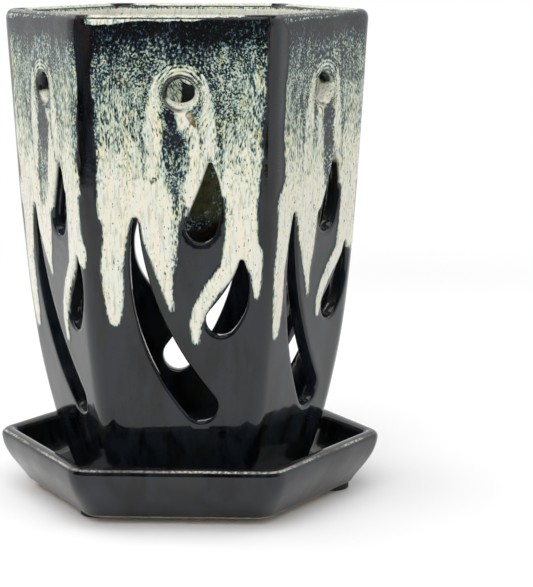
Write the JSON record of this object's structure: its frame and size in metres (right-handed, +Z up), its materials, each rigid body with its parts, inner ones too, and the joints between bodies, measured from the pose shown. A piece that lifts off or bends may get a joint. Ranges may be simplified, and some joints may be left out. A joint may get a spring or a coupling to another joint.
{
  "type": "orchid pot",
  "caption": "Six-sided tapering ceramic orchid pot with curved air slots, drop-shaped slots and round holes, standing loose in a six-sided saucer on rubber pads.",
  "frame": {"origin": "on the table under the middle of the pot, at the underside of the pads", "axes": "+Z up, -Y towards the viewer out of one flat side of the pot, +X out of a corner of the pot"},
  "size_m": [0.153, 0.135, 0.195],
  "materials": {
    "pot_glaze": "glossy black glaze under a thick speckled cream glaze that runs down in drips from the rim",
    "saucer_glaze": "glossy black glaze, thinner and browner on the rim",
    "pad_rubber": "matt black rubber"
  },
  "bodies": {
    "saucer": {"saucer": "saucer_glaze", "foot_pad_front_left": "pad_rubber", "foot_pad_right": "pad_rubber", "foot_pad_back_left": "pad_rubber"},
    "pot": {"pot": "pot_glaze"}
  },
  "joints": [
    {"name": "pot_lift", "type": "slide", "parent": "saucer", "child": "pot", "axis": [0, 0, 1], "range_m": [0, 0.04]}
  ]
}
